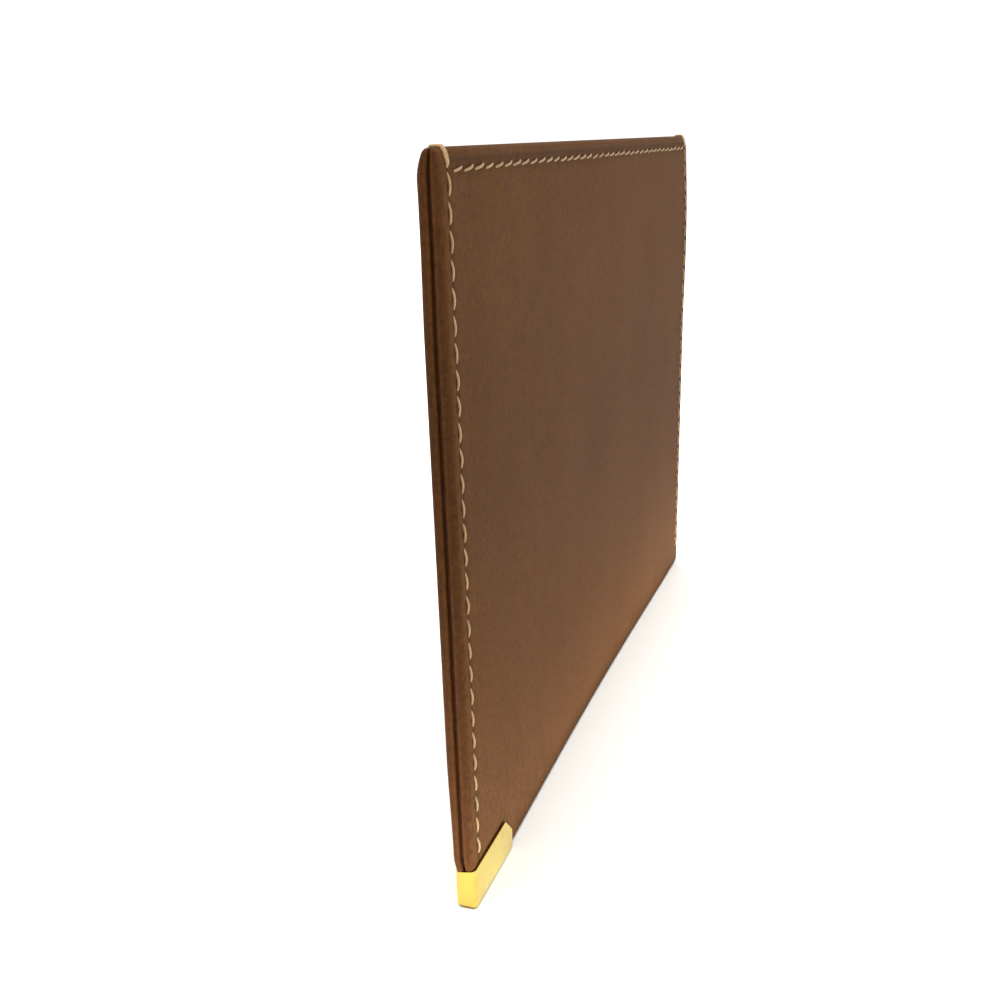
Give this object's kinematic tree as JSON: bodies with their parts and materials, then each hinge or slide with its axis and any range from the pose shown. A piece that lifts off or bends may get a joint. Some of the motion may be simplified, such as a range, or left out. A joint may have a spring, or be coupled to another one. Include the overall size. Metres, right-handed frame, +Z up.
{
  "type": "card holder",
  "caption": "Flat stitched leather card sleeve with an open mouth, a folded bottom and a brass corner guard.",
  "frame": {"origin": "middle of the bottom edge, on the surface that the holder stands on", "axes": "+X along the width, away from the corner guard; +Y through the thickness, from the front wall to the back wall; +Z up to the mouth"},
  "size_m": [0.105, 0.003, 0.0753],
  "materials": {
    "leather": "smooth brown calf with a satin finish and a fine grain",
    "lining": "thin matt lining leather, a little lighter than the outside",
    "filler": "dark strip of leather, raw edge",
    "board": "thin stiffening board",
    "thread": "waxed twisted linen thread, cream",
    "brass": "polished"
  },
  "bodies": {
    "root": {"front_leather": "leather", "back_leather": "leather", "bottom_leather": "leather", "front_board": "board", "back_board": "board", "front_lining": "lining", "back_lining": "lining", "lining_turn": "lining", "left_filler": "filler", "right_filler": "filler", "corner_guard": "brass", "left_seam_thread": "thread", "right_seam_thread": "thread", "front_mouth_thread": "thread", "back_mouth_thread": "thread"}
  },
  "joints": []
}
